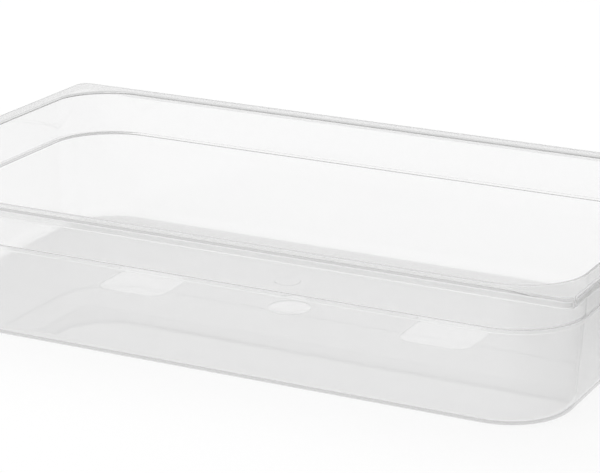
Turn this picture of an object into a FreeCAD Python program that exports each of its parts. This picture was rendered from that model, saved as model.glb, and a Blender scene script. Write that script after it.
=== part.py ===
# Gastronorm food pan, size GN 1/1, moulded in one piece from natural polypropylene.
# Millimetres. The origin is the centre of the foot, +X runs along the length and +Z is up.

import FreeCAD, Part

import math
import os

# Rim: a flat flange with a skirt turned down all round it.
LENGTH = 530.0  # the standard outline of this size, over the rim
WIDTH = 325.0
HEIGHT = 98.0
RIM_CORNER_RADIUS = 8.0
RIM_THICKNESS = 2.2
RIM_BEVEL = 0.8
SKIRT_THICKNESS = 2.2
SKIRT_DEPTH = 6.8  # from the rim's top

# Body: insets are measured inwards from the rim's outline to the outer face of the wall.
WALL = 2.2
FLOOR = 2.4
MOUTH_INSET = 9.8
MOUTH_EDGE_RADIUS = 3.0
LEDGE_DROP = 33.0  # from the rim's top down to the underside of the stacking ledge
LEDGE_TOP_INSET = 10.6
LEDGE_BASE_INSET = 13.0
LEDGE_BEVEL = 0.8
FOOT_INSET = 17.0
FOOT_EDGE_RADIUS = 9.0
NECK_CORNER_CENTRE = 58.0  # inset of the corners' axes above the ledge
BASE_CORNER_CENTRE = 64.0  # and below it, where the corners are wider

# Moulding marks, all sunk into the underside so that the foot stays flat.
GATE_RECESS_DIAMETER = 30.0
GATE_RECESS_DEPTH = 0.6
GATE_STUB_DIAMETER = 12.0
GATE_STUB_HEIGHT = 0.4
FIELD_SIDE = 52.0
FIELD_CORNER_RADIUS = 12.0
FIELD_DEPTH = 0.4
FIELD_CENTRE_X = 118.0
STAMP_DIAMETER = 19.0
STAMP_RING_WIDTH = 2.0
STAMP_DEPTH = 0.4
STAMP_CENTRE = (-27.0, 51.0)

NEAR = 0.01  # how closely an edge has to lie on the loop that is looked for


def rounded_loop(half_x, half_y, radius, z):
    """A level rectangle with rounded corners, as one closed wire round the Z axis."""
    arcs = []
    for quarter in range(4):
        start = quarter * math.pi / 2
        middle = start + math.pi / 4
        centre = FreeCAD.Vector(
            math.copysign(half_x - radius, math.cos(middle)),
            math.copysign(half_y - radius, math.sin(middle)),
            z,
        )
        points = []
        for angle in (start, middle, start + math.pi / 2):
            ray = FreeCAD.Vector(math.cos(angle), math.sin(angle), 0)
            points.append(centre + ray * radius)
        arcs.append(Part.Arc(*points).toShape())
    edges = []
    for arc, following in zip(arcs, arcs[1:] + arcs[:1]):
        side = Part.LineSegment(arc.lastVertex(True).Point, following.firstVertex(True).Point)
        edges += [arc, side.toShape()]
    return Part.Wire(edges)


def inset_loop(inset, radius, z):
    """The rim's outline moved inwards by inset, with corners of its own radius."""
    return rounded_loop(LENGTH / 2 - inset, WIDTH / 2 - inset, radius, z)


def block(loop, height):
    return Part.Face(loop).extrude(FreeCAD.Vector(0, 0, height))


def loop_edges(shape, inset, z):
    """The edges of the level loop that lies inset from the rim's outline at height z."""
    found = []
    for edge in shape.Edges:
        point = edge.Vertexes[0].Point
        edge_inset = min(LENGTH / 2 - abs(point.x), WIDTH / 2 - abs(point.y))
        level = edge.BoundBox.ZLength < NEAR and abs(point.z - z) < NEAR
        if level and abs(edge_inset - inset) < NEAR:
            found.append(edge)
    return found


def drafted_block(centre, low_inset, low_z, high_inset, high_z):
    """A block with sloping sides, whose rounded corners share their axes from low to high."""
    low = inset_loop(low_inset, centre - low_inset, low_z)
    high = inset_loop(high_inset, centre - high_inset, high_z)
    return Part.makeLoft([low, high], True, True)


def bowl(shrink, floor_z):
    """A solid that fills the pan's body, shrunk inwards from its outer face, floor at floor_z."""
    ledge_z = HEIGHT - LEDGE_DROP + floor_z
    foot_inset = FOOT_INSET + shrink
    base_inset = LEDGE_BASE_INSET + shrink
    top_inset = LEDGE_TOP_INSET + shrink
    base = drafted_block(BASE_CORNER_CENTRE, foot_inset, floor_z, base_inset, ledge_z)
    neck = drafted_block(NECK_CORNER_CENTRE, top_inset, ledge_z, MOUTH_INSET + shrink, HEIGHT)
    body = base.fuse(neck)
    for inset in (top_inset, base_inset):
        body = body.makeChamfer(LEDGE_BEVEL, loop_edges(body, inset, ledge_z))
    return body.makeFillet(FOOT_EDGE_RADIUS - shrink, loop_edges(body, foot_inset, floor_z))


def rim():
    """The flange with its skirt, like a tray turned upside down."""
    skirt_z = HEIGHT - SKIRT_DEPTH
    outside = block(inset_loop(0, RIM_CORNER_RADIUS, skirt_z), SKIRT_DEPTH)
    outside = outside.makeChamfer(RIM_BEVEL, loop_edges(outside, 0, HEIGHT))
    hollow_radius = RIM_CORNER_RADIUS - SKIRT_THICKNESS
    hollow = block(inset_loop(SKIRT_THICKNESS, hollow_radius, skirt_z), SKIRT_DEPTH - RIM_THICKNESS)
    return outside.cut(hollow)


def disc(diameter, depth, centre=(0, 0)):
    return Part.makeCylinder(diameter / 2, depth, FreeCAD.Vector(*centre, 0))


def underside_marks():
    """What the mould leaves in the underside: the gate, two smooth fields and a ring stamp."""
    gate_stub = disc(GATE_STUB_DIAMETER, GATE_RECESS_DEPTH)
    gate_stub.translate(FreeCAD.Vector(0, 0, GATE_RECESS_DEPTH - GATE_STUB_HEIGHT))
    marks = [disc(GATE_RECESS_DIAMETER, GATE_RECESS_DEPTH).cut(gate_stub)]
    for side in (-1, 1):
        field = block(rounded_loop(FIELD_SIDE / 2, FIELD_SIDE / 2, FIELD_CORNER_RADIUS, 0), FIELD_DEPTH)
        field.translate(FreeCAD.Vector(side * FIELD_CENTRE_X, 0, 0))
        marks.append(field)
    stamp_core = disc(STAMP_DIAMETER - 2 * STAMP_RING_WIDTH, STAMP_DEPTH, STAMP_CENTRE)
    marks.append(disc(STAMP_DIAMETER, STAMP_DEPTH, STAMP_CENTRE).cut(stamp_core))
    return marks


def pan():
    inside = bowl(WALL, FLOOR)
    body = rim().fuse(bowl(0, 0)).cut(inside).removeSplitter()
    mouth = loop_edges(body, MOUTH_INSET + WALL, HEIGHT)
    return body.makeFillet(MOUTH_EDGE_RADIUS, mouth).cut(underside_marks())


os.makedirs("parts", exist_ok=True)
pan().exportStep("parts/pan.step")
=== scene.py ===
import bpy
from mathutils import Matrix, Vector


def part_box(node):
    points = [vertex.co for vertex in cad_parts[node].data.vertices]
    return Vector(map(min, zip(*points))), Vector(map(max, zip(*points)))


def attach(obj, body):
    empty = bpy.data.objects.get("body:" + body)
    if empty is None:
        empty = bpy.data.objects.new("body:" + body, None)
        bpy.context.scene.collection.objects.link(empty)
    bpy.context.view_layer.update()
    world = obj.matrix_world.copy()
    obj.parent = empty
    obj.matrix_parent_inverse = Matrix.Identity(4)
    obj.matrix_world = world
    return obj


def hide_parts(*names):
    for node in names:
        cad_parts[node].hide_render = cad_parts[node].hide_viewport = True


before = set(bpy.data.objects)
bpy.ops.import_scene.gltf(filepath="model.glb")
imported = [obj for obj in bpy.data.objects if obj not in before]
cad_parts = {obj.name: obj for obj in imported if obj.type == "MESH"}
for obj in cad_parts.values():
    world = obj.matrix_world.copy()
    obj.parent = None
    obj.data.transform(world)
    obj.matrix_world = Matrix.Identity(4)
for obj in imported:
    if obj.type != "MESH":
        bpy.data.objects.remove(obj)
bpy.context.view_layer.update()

# An empty catering food pan of translucent natural plastic, with the pale studio it stands in.
# Laid out as an add-on: the sizes and finishes are properties, each piece is an operator.

import math
from collections import namedtuple

import bmesh
import bpy
from mathutils import Matrix, Vector

bl_info = {
    "name": "Catering Food Pan",
    "version": (1, 0, 0),
    "blender": (4, 5, 0),
    "location": "View3D > Sidebar > Food Pan",
    "description": "Models a translucent catering food pan and the pale studio it stands in",
    "category": "Add Mesh",
}

MM = 0.001
LOW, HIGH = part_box("pan")

PAN = "food_pan"
SKIN = "natural_plastic"
POLISHED = "polished_plastic"
TEXTURED_SHADED = "textured_underside_painted_shade"
RIM_SHADED = "rim_plastic_painted_shade"
FINISHES = (SKIN, TEXTURED_SHADED, RIM_SHADED)  # the order of the pan's own material slots

CORNER_SEGMENTS = 20
EDGE_SEGMENTS = 6
DISC_SEGMENTS = 72
SMOOTH_UP_TO = math.radians(35)  # edges that turn more than this stay sharp
STACKING = 0.05  # the rings are bridged this far apart, in order, and then settle to their heights
CUT_BELOW = 2 * MM  # how far a cutter stands out below the floor
UNDERSIDE_WITHIN = 0.1 * MM  # how far above the foot's plane a face still belongs to the underside
NEARLY_LEVEL = 0.99  # the upright part of a level face's normal, at the least

# One ring of the pan's section: its inset from the rim's outline, the inset of its corners' axes, its
# height, and how much its edge is rounded.
Ring = namedtuple("Ring", "name inset centre z rounding")
# The faces between these rings take the rim's copy of the plastic, whose colour is darkened as a painted
# shade.
RIM_RINGS = (
    "neck_under_flange", "skirt_under_flange", "skirt_foot_inside", "skirt_foot_outside",
    "rim_edge", "mouth_edge",
)

CLOUDS_PER_METRE = 16
GLOSS_PATCHES_PER_METRE = 70
GRAINS_PER_METRE = 700
GRAIN_DEPTH = 0.2 * MM  # at full relief
GLOSS_SPREAD = 0.25  # the share by which the roughness varies
GREY = (0.5, 0.5, 0.5, 1)
WHITE = (1, 1, 1, 1)

FLOOR_SIDE = 12
FLOOR_GAP = 0.2 * MM  # keeps the floor clear of the pan's foot
PAINTED_SHADE_FROM, PAINTED_SHADE_TO = HIGH.x - 0.04, HIGH.x + 0.1  # where the floor, as the plastic mirrors it, darkens as a painted shade, along X
FILL_FROM, FILL_TO = 0.0, 0.9  # where the surroundings' light fades, by the X of the direction
SENSOR_WIDTH = 36  # in millimetres, like the lens


def length_property(name, description, default):
    """A size in metres that is shown as a length."""
    return bpy.props.FloatProperty(
        name=name, description=description, default=default, min=0, unit="LENGTH", subtype="DISTANCE"
    )


def offset_property(name, description, default):
    """A distance in metres that may be negative."""
    return bpy.props.FloatProperty(
        name=name, description=description, default=default, unit="LENGTH", subtype="DISTANCE"
    )


def angle_property(name, description, default):
    """An angle, given here in degrees."""
    return bpy.props.FloatProperty(
        name=name, description=description, default=math.radians(default), unit="ROTATION", subtype="ANGLE"
    )


def share_property(name, description, default):
    """A share from 0 to 1."""
    return bpy.props.FloatProperty(
        name=name, description=description, default=default, min=0, max=1, subtype="FACTOR"
    )


def colour_property(name, description, default):
    """A colour without alpha."""
    return bpy.props.FloatVectorProperty(
        name=name, description=description, default=default, min=0, max=1, size=3, subtype="COLOR"
    )


class PanSizes(bpy.types.PropertyGroup):
    """The pan's own sizes. Insets run inwards from the rim's outline."""

    wall: length_property("Wall", "Thickness of the wall, flange and skirt", 2.2 * MM)
    floor: length_property("Floor", "Thickness of the floor", 2.4 * MM)
    rim_corner: length_property("Rim corner", "Radius of the rim's outer corners", 8 * MM)
    rim_edge: length_property("Rim edge", "Rounding of the rim's outer edge", 1.8 * MM)
    skirt: length_property("Skirt", "Depth of the skirt below the rim's top", 6.8 * MM)
    mouth_inset: length_property("Mouth inset", "Inset of the mouth's inner wall", 12 * MM)
    mouth_edge: length_property("Mouth edge", "Rounding from the flange into the mouth", 3 * MM)
    ledge_drop: length_property("Ledge drop", "Rim's top down to the ledge's underside", 33 * MM)
    ledge_top: length_property("Ledge top inset", "Outer wall's inset just above the ledge", 10.6 * MM)
    ledge_base: length_property("Ledge base inset", "Outer wall's inset just below the ledge", 13 * MM)
    ledge_edge: length_property("Ledge edge", "Rounding of the ledge's edges", 0.9 * MM)
    foot_inset: length_property("Foot inset", "Outer wall's inset at the foot", 17 * MM)
    foot_edge: length_property("Foot edge", "Rounding of the foot's outer edge", 9 * MM)
    neck_centre: length_property("Neck corner inset", "Inset of the corner axes above the ledge", 58 * MM)
    base_centre: length_property("Base corner inset", "Inset of the corner axes below the ledge", 64 * MM)


class PanMarks(bpy.types.PropertyGroup):
    """The shallow moulding marks, sunk into the underside of the floor."""

    gate: length_property("Gate recess", "Diameter of the round recess at the gate", 30 * MM)
    stub: length_property("Gate stub", "Diameter of the stub inside the gate recess", 12 * MM)
    gate_depth: length_property("Gate depth", "Depth of the gate recess", 0.6 * MM)
    stub_height: length_property("Stub height", "Height of the stub inside the recess", 0.4 * MM)
    field: length_property("Field side", "Side of the two smooth square fields", 52 * MM)
    field_corner: length_property("Field corner", "Corner radius of the smooth fields", 12 * MM)
    field_x: length_property("Field distance", "Distance of each field from the centre", 118 * MM)
    stamp: length_property("Stamp", "Diameter of the plain ring stamp", 19 * MM)
    stamp_width: length_property("Stamp ring", "Width of the stamp's ring", 2 * MM)
    stamp_x: offset_property("Stamp X", "Distance of the stamp to the right of the gate", -27 * MM)
    stamp_y: offset_property("Stamp Y", "Distance of the stamp behind the gate", 51 * MM)
    depth: length_property("Mark depth", "Depth of the fields and of the stamp", 0.4 * MM)


class PanPlastic(bpy.types.PropertyGroup):
    """The natural translucent plastic."""

    tint: colour_property("Tint", "Colour of the plastic", (1, 1, 1))
    cloud: colour_property("Cloud", "Colour where the plastic is milkier", (0.99, 0.99, 0.99))
    clarity: share_property("Clarity", "Share of light that passes instead of scattering", 0.93)
    roughness: share_property("Roughness", "Roughness of the moulded skin", 0.04)
    polish: share_property("Polish", "Roughness of the smooth moulding marks", 0.05)
    texture: share_property("Texture", "Roughness of the textured underside", 0.35)
    relief: share_property("Relief", "Relief of the textured underside", 0.04)
    # Painted shade: the textured underside's colour is darkened by this share.
    underside: share_property("Underside", "Share of light that the textured underside lets through", 0.94)
    # Painted shade: the rim's copy of the plastic is darkened by this share.
    rim: share_property("Rim", "Share of light that the doubled rim lets through", 0.94)
    bending: bpy.props.FloatProperty(
        name="Bending", description="How much the plastic bends what is seen through it", default=1.49, min=1
    )
    # Painted shade: how dark the colour is painted where light is mirrored inside the plastic.
    painted_shade_inside: share_property("Trapped tint", "Tint for light reflected inside the plastic", 0.25)
    # Painted glow: light that the plastic gives off where light is mirrored inside it, though it is no lamp.
    painted_glow: share_property("Glow", "Light that the cloud gives back where light is reflected inside", 0.145)
    density: bpy.props.FloatProperty(
        name="Density", description="How much the depth of plastic dims what is seen", default=12, min=0
    )


class Studio(bpy.types.PropertyGroup):
    """The pale floor and surroundings, and the camera."""

    backdrop: colour_property("Backdrop", "Colour of the floor and of the surroundings", (1, 1, 1))
    fill_left: share_property("Fill at left", "Strength of the surroundings' light from the left", 0.9)
    fill_right: share_property("Fill at right", "Strength of the surroundings' light from the right", 0.1)
    # Painted shade: how bright the floor stays at the right where the plastic mirrors it.
    painted_reflection_shade: share_property("Sweep", "How bright the plastic mirrors the floor at the right", 0.0)
    shadow: share_property("Shadow", "Share of the object's shadow that the floor keeps", 0.12)
    camera: bpy.props.FloatVectorProperty(
        name="Camera", description="Where the camera stands", default=(0.732, -1.505, 0.576), unit="LENGTH"
    )
    heading: angle_property("Heading", "Turn of the camera from the long side", -25.73)
    tip: angle_property("Tip", "Tip of the camera down from the level", 17.33)
    roll: angle_property("Roll", "Roll of the camera", 0.83)
    lens: bpy.props.FloatProperty(
        name="Lens", description="Focal length of the camera", default=150.8, min=1, unit="CAMERA"
    )


def pick_only(piece):
    bpy.ops.object.select_all(action="DESELECT")
    piece.select_set(True)
    bpy.context.view_layer.objects.active = piece


def pick_none():
    bpy.ops.mesh.select_all(action="DESELECT")


def pick_level_faces(piece, up, below):
    """Selects the piece's level faces that face up (1) or down (-1) and lie below a height, in edit mode."""
    bpy.ops.mesh.select_mode(type="FACE")
    pick_none()
    mesh = bmesh.from_edit_mesh(piece.data)
    for face in mesh.faces:
        face.select = up * face.normal.z > NEARLY_LEVEL and face.calc_center_median().z < below
    bmesh.update_edit_mesh(piece.data)


def turn_outwards():
    """Turns the faces of a mesh in edit mode outwards."""
    bpy.ops.mesh.select_all(action="SELECT")
    bpy.ops.mesh.normals_make_consistent(inside=False)


def round_corners(radius):
    """Rounds the selected corners, in edit mode."""
    bpy.ops.mesh.bevel(offset=radius, segments=CORNER_SEGMENTS, affect="VERTICES", clamp_overlap=False)


def add_rounded_ring(half_x, half_y, radius, z):
    """Adds a level rounded rectangle to the mesh in edit mode and leaves it selected."""
    pick_none()
    bpy.ops.mesh.primitive_plane_add(size=1, location=(0, 0, z))
    bpy.ops.transform.resize(value=(2 * half_x, 2 * half_y, 1), center_override=(0, 0, z))
    round_corners(radius)


def name_ring(piece, name):
    """Keeps the selected vertices in a vertex group of their own."""
    group = piece.vertex_groups.new(name=name)
    piece.vertex_groups.active_index = group.index
    bpy.ops.object.vertex_group_assign()


def pick_rings(piece, *names):
    """Selects the named rings and nothing else."""
    pick_none()
    for name in names:
        piece.vertex_groups.active_index = piece.vertex_groups[name].index
        bpy.ops.object.vertex_group_select()


def give_finish(piece, name):
    """Gives one of the pan's finishes to its selected faces, in edit mode."""
    piece.active_material_index = FINISHES.index(name)
    bpy.ops.object.material_slot_assign()


def pan_rings(sizes):
    """The pan's section from under the floor, round the rim and back to the floor's top."""
    wall, floor = sizes.wall, sizes.floor
    top = HIGH.z
    outer_mouth = sizes.mouth_inset - wall
    skirt_foot = top - sizes.skirt
    ledge = top - sizes.ledge_drop
    inner_ledge = ledge + floor
    root = sizes.ledge_edge
    lip = sizes.rim_edge / 2
    base, neck, rim = sizes.base_centre, sizes.neck_centre, sizes.rim_corner
    return [
        Ring("foot_outside", sizes.foot_inset, base, LOW.z, sizes.foot_edge),
        Ring("ledge_base_outside", sizes.ledge_base, base, ledge, root),
        Ring("ledge_top_outside", sizes.ledge_top, neck, ledge, root),
        Ring("neck_under_flange", outer_mouth, neck, top - wall, root),
        Ring("skirt_under_flange", wall, rim, top - wall, root),
        Ring("skirt_foot_inside", wall, rim, skirt_foot, lip),
        Ring("skirt_foot_outside", 0, rim, skirt_foot, lip),
        Ring("rim_edge", 0, rim, top, sizes.rim_edge),
        Ring("mouth_edge", sizes.mouth_inset, neck, top, sizes.mouth_edge),
        Ring("ledge_top_inside", sizes.ledge_top + wall, neck, inner_ledge, root),
        Ring("ledge_base_inside", sizes.ledge_base + wall, base, inner_ledge, root),
        Ring("foot_inside", sizes.foot_inset + wall, base, LOW.z + floor, sizes.foot_edge - wall),
    ]


def add_skin(piece, sizes):
    """Bridges the section's rings into one closed skin, in edit mode, and rounds its edges."""
    rings = pan_rings(sizes)
    bpy.ops.object.mode_set(mode="EDIT")
    for order, ring in enumerate(rings):
        half_x, half_y = HIGH.x - ring.inset, HIGH.y - ring.inset
        add_rounded_ring(half_x, half_y, ring.centre - ring.inset, order * STACKING)
        name_ring(piece, ring.name)
        if ring not in (rings[0], rings[-1]):
            bpy.ops.mesh.delete(type="ONLY_FACE")
    for ring, following in zip(rings, rings[1:]):
        pick_rings(piece, ring.name, following.name)
        bpy.ops.mesh.bridge_edge_loops()
    for order, ring in enumerate(rings):
        pick_rings(piece, ring.name)
        bpy.ops.transform.translate(value=(0, 0, ring.z - order * STACKING))
    turn_outwards()
    pick_rings(piece, *RIM_RINGS)
    give_finish(piece, RIM_SHADED)
    widest = max(ring.rounding for ring in rings)
    for ring in rings:
        pick_rings(piece, ring.name)
        bpy.ops.transform.edge_bevelweight(value=ring.rounding / widest)
    bpy.ops.object.mode_set(mode="OBJECT")
    piece.vertex_groups.clear()
    rounded = piece.modifiers.new("Rounding", "BEVEL")
    rounded.limit_method = "WEIGHT"
    rounded.width = widest
    rounded.segments = EDGE_SEGMENTS
    rounded.use_clamp_overlap = False
    bpy.ops.object.modifier_apply(modifier=rounded.name)


def stepped_disc(radius, top, core_radius, core_top):
    """Adds a round cutter that stands through the floor's underside, with its core lower than its edge."""
    bpy.ops.mesh.primitive_cylinder_add(
        vertices=DISC_SEGMENTS, radius=radius, depth=top + CUT_BELOW, location=(0, 0, (top - CUT_BELOW) / 2)
    )
    bpy.ops.object.mode_set(mode="EDIT")
    pick_level_faces(bpy.context.object, up=1, below=math.inf)
    bpy.ops.mesh.inset(thickness=radius - core_radius)
    bpy.ops.transform.translate(value=(0, 0, core_top - top))
    bpy.ops.mesh.select_mode(type="VERT")
    bpy.ops.object.mode_set(mode="OBJECT")


def rounded_tile(side, corner, top):
    """Adds a square cutter with round corners that stands through the floor's underside."""
    bpy.ops.mesh.primitive_plane_add(size=side, location=(0, 0, -CUT_BELOW))
    bpy.ops.object.transform_apply(location=True)
    bpy.ops.object.mode_set(mode="EDIT")
    bpy.ops.mesh.select_all(action="SELECT")
    round_corners(corner)
    bpy.ops.mesh.extrude_region_move(TRANSFORM_OT_translate={"value": (0, 0, top + CUT_BELOW)})
    turn_outwards()
    bpy.ops.object.mode_set(mode="OBJECT")


def cut_mark(piece, material, x, y):
    """Sinks the active cutter into the floor's underside at x, y. The sunk faces take the material."""
    cutter = bpy.context.object
    cutter.data.materials.append(material)
    cutter.location += Vector((x, y, 0))
    bpy.context.view_layer.update()
    pick_only(piece)
    cut = piece.modifiers.new("Mark", "BOOLEAN")
    cut.operation = "DIFFERENCE"
    cut.solver = "EXACT"
    cut.object = cutter
    cut.material_mode = "TRANSFER"
    bpy.ops.object.modifier_apply(modifier=cut.name)
    bpy.data.objects.remove(cutter)


def cut_marks(piece, marks, material):
    """The gate with its stub, a plain ring stamp behind it, and a smooth field on each side."""
    gate_top = LOW.z + marks.gate_depth
    stepped_disc(marks.gate / 2, gate_top, marks.stub / 2, gate_top - marks.stub_height)
    cut_mark(piece, material, 0, 0)
    stamp_core = marks.stamp / 2 - marks.stamp_width
    stepped_disc(marks.stamp / 2, LOW.z + marks.depth, stamp_core, LOW.z - CUT_BELOW / 2)
    cut_mark(piece, material, marks.stamp_x, marks.stamp_y)
    for side in (-1, 1):
        rounded_tile(marks.field, marks.field_corner, LOW.z + marks.depth)
        cut_mark(piece, material, side * marks.field_x, 0)


def texture_underside(piece):
    """Gives the flat underside its own, coarser finish, whose colour also carries a painted shade."""
    bpy.ops.object.mode_set(mode="EDIT")
    pick_level_faces(piece, up=-1, below=LOW.z + UNDERSIDE_WITHIN)
    give_finish(piece, TEXTURED_SHADED)
    bpy.ops.mesh.select_mode(type="VERT")
    bpy.ops.object.mode_set(mode="OBJECT")


def smooth_skin(piece):
    """Shades the skin smooth across its roundings and flat across its walls."""
    pick_only(piece)
    bpy.ops.object.shade_smooth_by_angle(angle=SMOOTH_UP_TO)
    even = piece.modifiers.new("Even Shading", "WEIGHTED_NORMAL")
    even.keep_sharp = True
    bpy.ops.object.modifier_apply(modifier=even.name)


class Nodes:
    """Adds and links nodes in one material or world."""

    def __init__(self, owner):
        owner.use_nodes = True
        self.tree = owner.node_tree
        self.tree.nodes.clear()

    def set(self, socket, value):
        """Links an output to the socket, or writes a plain value into it."""
        if isinstance(value, bpy.types.NodeSocket):
            self.tree.links.new(value, socket)
        else:
            socket.default_value = value

    def add(self, kind, **values):
        """Adds a node. A value goes to the socket of that name, a dictionary sets the node's own settings."""
        node = self.tree.nodes.new("ShaderNode" + kind)
        for setting, value in values.pop("settings", {}).items():
            setattr(node, setting, value)
        for name, value in values.items():
            self.set(node.inputs[name.replace("_", " ")], value)
        return node

    def calculate(self, operation, first, second):
        """What a Math node makes of two levels."""
        node = self.add("Math", settings={"operation": operation})
        self.set(node.inputs[0], first)
        self.set(node.inputs[1], second)
        return node.outputs[0]

    def level(self, value, at_none, at_full):
        """A level between at_none, where the value is 0, and at_full, where it is 1."""
        return self.add("MapRange", Value=value, To_Min=at_none, To_Max=at_full).outputs["Result"]

    def fade(self, value, start, end, before, after):
        """A level that changes smoothly from before to after as the value goes from start to end."""
        return self.add(
            "MapRange", settings={"interpolation_type": "SMOOTHSTEP"}, Value=value,
            From_Min=start, From_Max=end, To_Min=before, To_Max=after,
        ).outputs["Result"]

    def noise(self, place, scale, detail):
        """Soft random patches, so many to the metre."""
        return self.add("TexNoise", Vector=place, Scale=scale, Detail=detail).outputs["Fac"]

    def mirrored(self):
        """1 for what is seen mirrored and not through the plastic, otherwise 0."""
        path = self.add("LightPath").outputs
        direct = self.level(path["Is Transmission Ray"], 1.0, 0.0)
        return self.calculate("MULTIPLY", path["Is Glossy Ray"], direct)

    def seen(self):
        """1 for what is seen directly, mirrored or through the plastic, 0 for the light on matt surfaces."""
        path = self.add("LightPath").outputs
        open_view = self.calculate("MAXIMUM", path["Is Camera Ray"], path["Is Glossy Ray"])
        return self.calculate("MAXIMUM", open_view, path["Is Transmission Ray"])


def plastic_material(name, plastic, tone, roughness, clarity, relief=0.0):
    """Milky see-through plastic: a cloudy tint, a haze where light comes in, uneven gloss and a fine grain.

    Light that is mirrored inside the plastic gets a painted shade, a darker colour, and a painted glow, an
    emission; both stand in for the scattering of a cloudy plastic.
    """
    cloud = (*[tone * value for value in plastic.cloud], 1)
    clear = (*[tone * value for value in plastic.tint], 1)
    # Painted shade: the darker colour taken where light is mirrored inside the plastic.
    painted_shade_colour = (*[plastic.painted_shade_inside * value for value in plastic.tint], 1)
    material = bpy.data.materials.new(name)
    nodes = Nodes(material)
    place = nodes.add("TexCoord").outputs["Object"]
    clouds = nodes.noise(place, CLOUDS_PER_METRE, detail=3)
    tint = nodes.add("MixRGB", Fac=clouds, Color1=cloud, Color2=clear).outputs["Color"]
    patches = nodes.noise(place, GLOSS_PATCHES_PER_METRE, detail=2)
    gloss = nodes.level(patches, roughness * (1 - GLOSS_SPREAD), roughness * (1 + GLOSS_SPREAD))
    grain = nodes.noise(place, GRAINS_PER_METRE, detail=2)
    surface = nodes.add("Bump", Height=grain, Strength=relief, Distance=GRAIN_DEPTH).outputs["Normal"]
    inside = nodes.add("NewGeometry").outputs["Backfacing"]
    # Where light is mirrored inside the plastic: this gets the painted shade and the painted glow.
    trapped_shade_and_glow = nodes.calculate("MULTIPLY", nodes.mirrored(), inside)
    colour = nodes.add("MixRGB", Fac=trapped_shade_and_glow, Color1=tint, Color2=painted_shade_colour).outputs["Color"]
    shader = nodes.add(
        "BsdfPrincipled", Base_Color=colour, Roughness=gloss, Normal=surface, IOR=plastic.bending,
        Transmission_Weight=nodes.level(inside, clarity, 1.0),
        # The emission is a painted glow where light is mirrored inside the plastic.
        Emission_Strength=nodes.calculate("MULTIPLY", trapped_shade_and_glow, plastic.painted_glow), Emission_Color=WHITE,
    ).outputs["BSDF"]
    depth = nodes.add("VolumeAbsorption", Color=GREY, Density=plastic.density).outputs["Volume"]
    nodes.add("OutputMaterial", Surface=shader, Volume=depth)
    return material


class FOODPAN_OT_pan(bpy.types.Operator):
    """Models the pan as one closed skin, sinks its moulding marks and gives it its plastic"""

    bl_idname = "foodpan.pan"
    bl_label = "Food Pan"

    def execute(self, context):
        scene = context.scene
        bpy.ops.object.select_all(action="DESELECT")
        bpy.ops.mesh.primitive_plane_add(size=1)
        piece = context.object
        piece.name = piece.data.name = PAN
        bpy.ops.object.mode_set(mode="EDIT")
        bpy.ops.mesh.select_all(action="SELECT")
        bpy.ops.mesh.delete(type="VERT")
        bpy.ops.object.mode_set(mode="OBJECT")
        plastic = scene.pan_plastic
        clarity = plastic.clarity
        finishes = {
            SKIN: plastic_material(SKIN, plastic, 1.0, plastic.roughness, clarity),
            # The underside's copy: coarser and with relief, and its colour darkened by the underside share as
            # a painted shade.
            TEXTURED_SHADED: plastic_material(
                TEXTURED_SHADED, plastic, plastic.underside, plastic.texture, clarity, plastic.relief
            ),
            # The rim's copy of the plastic, with its colour darkened by the rim share as a painted shade.
            RIM_SHADED: plastic_material(RIM_SHADED, plastic, plastic.rim, plastic.roughness, clarity),
        }
        for name in FINISHES:
            piece.data.materials.append(finishes[name])
        polished = plastic_material(POLISHED, plastic, 1 / max(plastic.tint), plastic.polish, 1.0)
        add_skin(piece, scene.pan_sizes)
        texture_underside(piece)
        cut_marks(piece, scene.pan_marks, polished)
        smooth_skin(piece)
        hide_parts("pan")
        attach(piece, "root")
        return {"FINISHED"}


def floor_material(studio):
    """A pale matt floor that is seen nearly white, with a trace of the object's shadow.

    Where the plastic mirrors it, it gets darker to the right: a painted shade in the plastic's reflections,
    not on the floor that is seen.
    """
    backdrop = (*studio.backdrop, 1)
    material = bpy.data.materials.new("studio_floor")
    nodes = Nodes(material)
    matt = nodes.add("BsdfDiffuse", Color=backdrop).outputs[0]
    place = nodes.add("SeparateXYZ", Vector=nodes.add("TexCoord").outputs["Object"])
    # Painted shade in the plastic's reflections: the mirrored floor darkens towards the right.
    painted_reflection_shade = nodes.fade(place.outputs["X"], PAINTED_SHADE_FROM, PAINTED_SHADE_TO, 1.0, studio.painted_reflection_shade)
    strength = nodes.level(nodes.mirrored(), 1.0, painted_reflection_shade)
    white = nodes.add("Emission", Color=backdrop, Strength=strength).outputs[0]
    share = nodes.calculate("MULTIPLY", nodes.seen(), 1 - studio.shadow)
    mixed = nodes.add("MixShader", Fac=share)
    nodes.set(mixed.inputs[1], matt)
    nodes.set(mixed.inputs[2], white)
    nodes.add("OutputMaterial", Surface=mixed.outputs[0])
    return material


def studio_world(scene, studio):
    """Pale surroundings: white where they are seen, and as light dimmer towards the right."""
    world = bpy.data.worlds.new("studio_surroundings")
    scene.world = world
    nodes = Nodes(world)
    direction = nodes.add("SeparateXYZ", Vector=nodes.add("TexCoord").outputs["Generated"])
    light = nodes.fade(direction.outputs["X"], FILL_FROM, FILL_TO, studio.fill_left, studio.fill_right)
    strength = nodes.level(nodes.seen(), light, 1.0)
    sky = nodes.add("Background", Color=(*studio.backdrop, 1), Strength=strength)
    nodes.add("OutputWorld", Surface=sky.outputs[0])


def add_lamp(name, place, aim, width, height, power):
    """A soft lamp at a place, aimed at a point, that isn't seen mirrored in the plastic or through it."""
    bpy.ops.object.light_add(type="AREA", location=place)
    lamp = bpy.context.object
    lamp.name = lamp.data.name = name
    lamp.data.shape = "RECTANGLE"
    lamp.data.size, lamp.data.size_y = width, height
    lamp.data.energy = power
    lamp.visible_glossy = lamp.visible_transmission = False
    lamp.rotation_euler = (Vector(aim) - Vector(place)).to_track_quat("-Z", "Y").to_euler()


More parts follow.
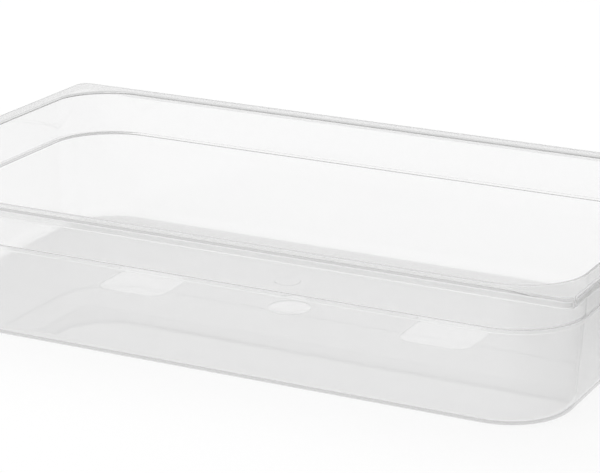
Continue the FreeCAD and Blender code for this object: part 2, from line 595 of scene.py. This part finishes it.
def camera_place(studio):
    """Where the camera stands: turned by its heading, tipped down and slightly rolled."""
    heading, tip, roll = studio.heading, studio.tip, studio.roll
    forward = Vector((
        math.sin(heading) * math.cos(tip), math.cos(heading) * math.cos(tip), -math.sin(tip)
    ))
    right = Vector((math.cos(heading), -math.sin(heading), 0))
    up = right.cross(forward)
    turned_right = math.cos(roll) * right + math.sin(roll) * up
    turned_up = math.cos(roll) * up - math.sin(roll) * right
    turn = Matrix((turned_right, turned_up, -forward)).transposed().to_4x4()
    return Matrix.Translation(studio.camera) @ turn


class FOODPAN_OT_studio(bpy.types.Operator):
    """Sets up the pale floor, the soft lamps and the camera"""

    bl_idname = "foodpan.studio"
    bl_label = "Studio"

    def execute(self, context):
        scene, studio = context.scene, context.scene.pan_studio
        bpy.ops.object.select_all(action="DESELECT")
        bpy.ops.mesh.primitive_plane_add(size=FLOOR_SIDE, location=(0, 0, LOW.z - FLOOR_GAP))
        floor = context.object
        floor.name = floor.data.name = "studio_floor"
        floor.data.materials.append(floor_material(studio))
        studio_world(scene, studio)
        add_lamp("overhead_lamp", (-0.5, 0.7, 1.9), aim=(0, 0, 0), width=2.4, height=1.8, power=16)
        add_lamp("front_lamp", (-1.2, -1.9, 1.2), aim=(0, 0, 0.05), width=0.9, height=0.9, power=9)
        bpy.ops.object.camera_add()
        camera = context.object
        camera.name = camera.data.name = "studio_camera"
        camera.data.lens = studio.lens
        camera.data.sensor_width = SENSOR_WIDTH
        camera.matrix_world = camera_place(studio)
        scene.camera = camera
        scene.view_settings.view_transform = "Standard"
        return {"FINISHED"}


class FOODPAN_PT_sidebar(bpy.types.Panel):
    """The pan's pieces and its studio"""

    bl_idname = "FOODPAN_PT_sidebar"
    bl_label = "Food Pan"
    bl_space_type = "VIEW_3D"
    bl_region_type = "UI"
    bl_category = "Food Pan"

    def draw(self, context):
        layout = self.layout
        scene = context.scene
        layout.operator("foodpan.pan")
        layout.operator("foodpan.studio")
        for group in (scene.pan_sizes, scene.pan_marks, scene.pan_plastic, scene.pan_studio):
            column = layout.column(align=True)
            for name in group.bl_rna.properties.keys():
                if name not in ("rna_type", "name"):
                    column.prop(group, name)


CLASSES = (PanSizes, PanMarks, PanPlastic, Studio, FOODPAN_OT_pan, FOODPAN_OT_studio, FOODPAN_PT_sidebar)
SETTINGS = {"pan_sizes": PanSizes, "pan_marks": PanMarks, "pan_plastic": PanPlastic, "pan_studio": Studio}


def register():
    for cls in CLASSES:
        bpy.utils.register_class(cls)
    for name, group in SETTINGS.items():
        setattr(bpy.types.Scene, name, bpy.props.PointerProperty(type=group))


def unregister():
    for name in SETTINGS:
        delattr(bpy.types.Scene, name)
    for cls in reversed(CLASSES):
        bpy.utils.unregister_class(cls)


def main():
    register()
    bpy.ops.foodpan.pan()
    bpy.ops.foodpan.studio()


if __name__ == "__main__":
    main()
